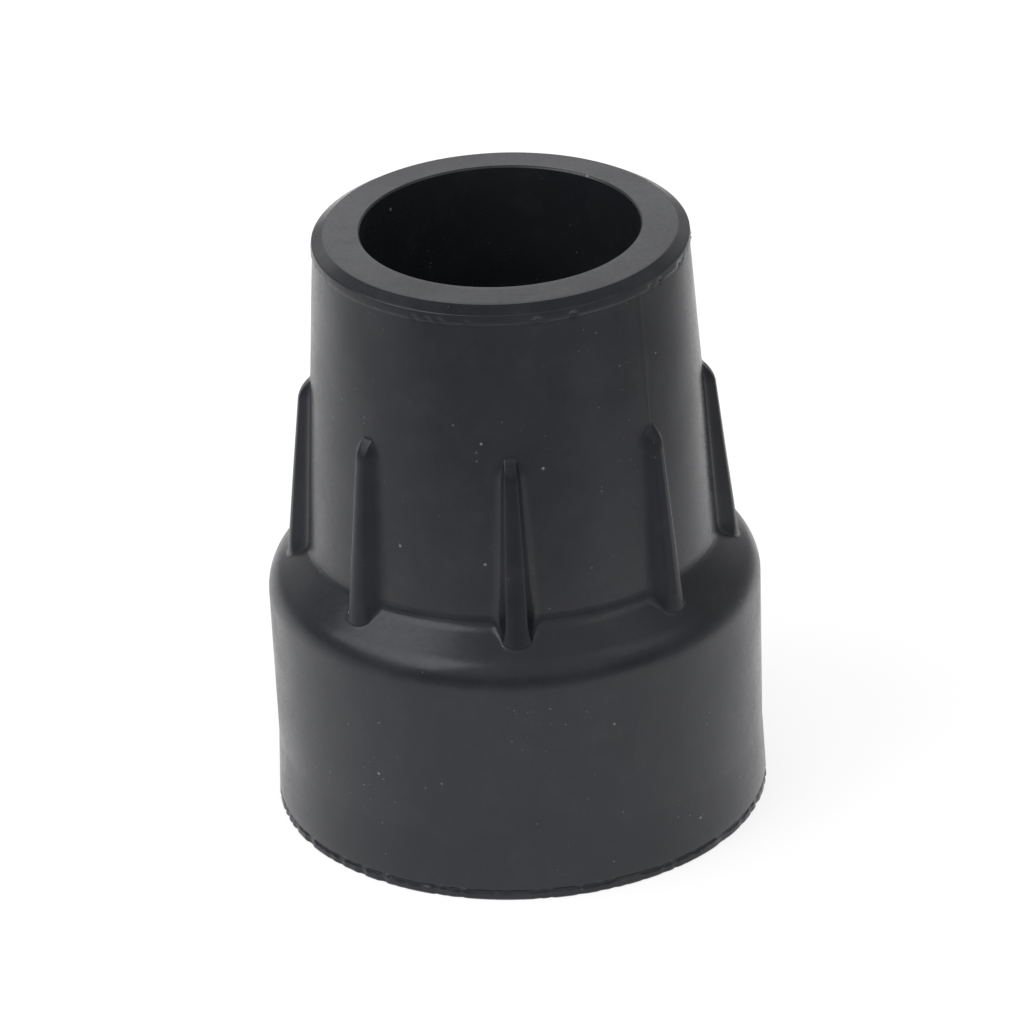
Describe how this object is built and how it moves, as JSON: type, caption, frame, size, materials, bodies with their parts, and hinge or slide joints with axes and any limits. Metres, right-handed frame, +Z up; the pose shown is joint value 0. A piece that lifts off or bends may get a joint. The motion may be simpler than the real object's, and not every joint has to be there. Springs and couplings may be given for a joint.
{
  "type": "rubber pole end cap",
  "caption": "Black rubber end cap for a tubular pole: tapered neck with a blind socket, braced by ribs, on a wide base with a dished, grooved tread.",
  "frame": {"origin": "centre of the underside, in the plane of the floor on which the foot rim stands", "axes": "+Z up along the socket's axis towards the mouth; a rib points along -Y and another along +X"},
  "size_m": [0.0384, 0.0384, 0.0482],
  "materials": {
    "rubber": "satin moulded black rubber, faintly mottled"
  },
  "bodies": {
    "root": {"ferrule": "rubber"}
  },
  "joints": []
}
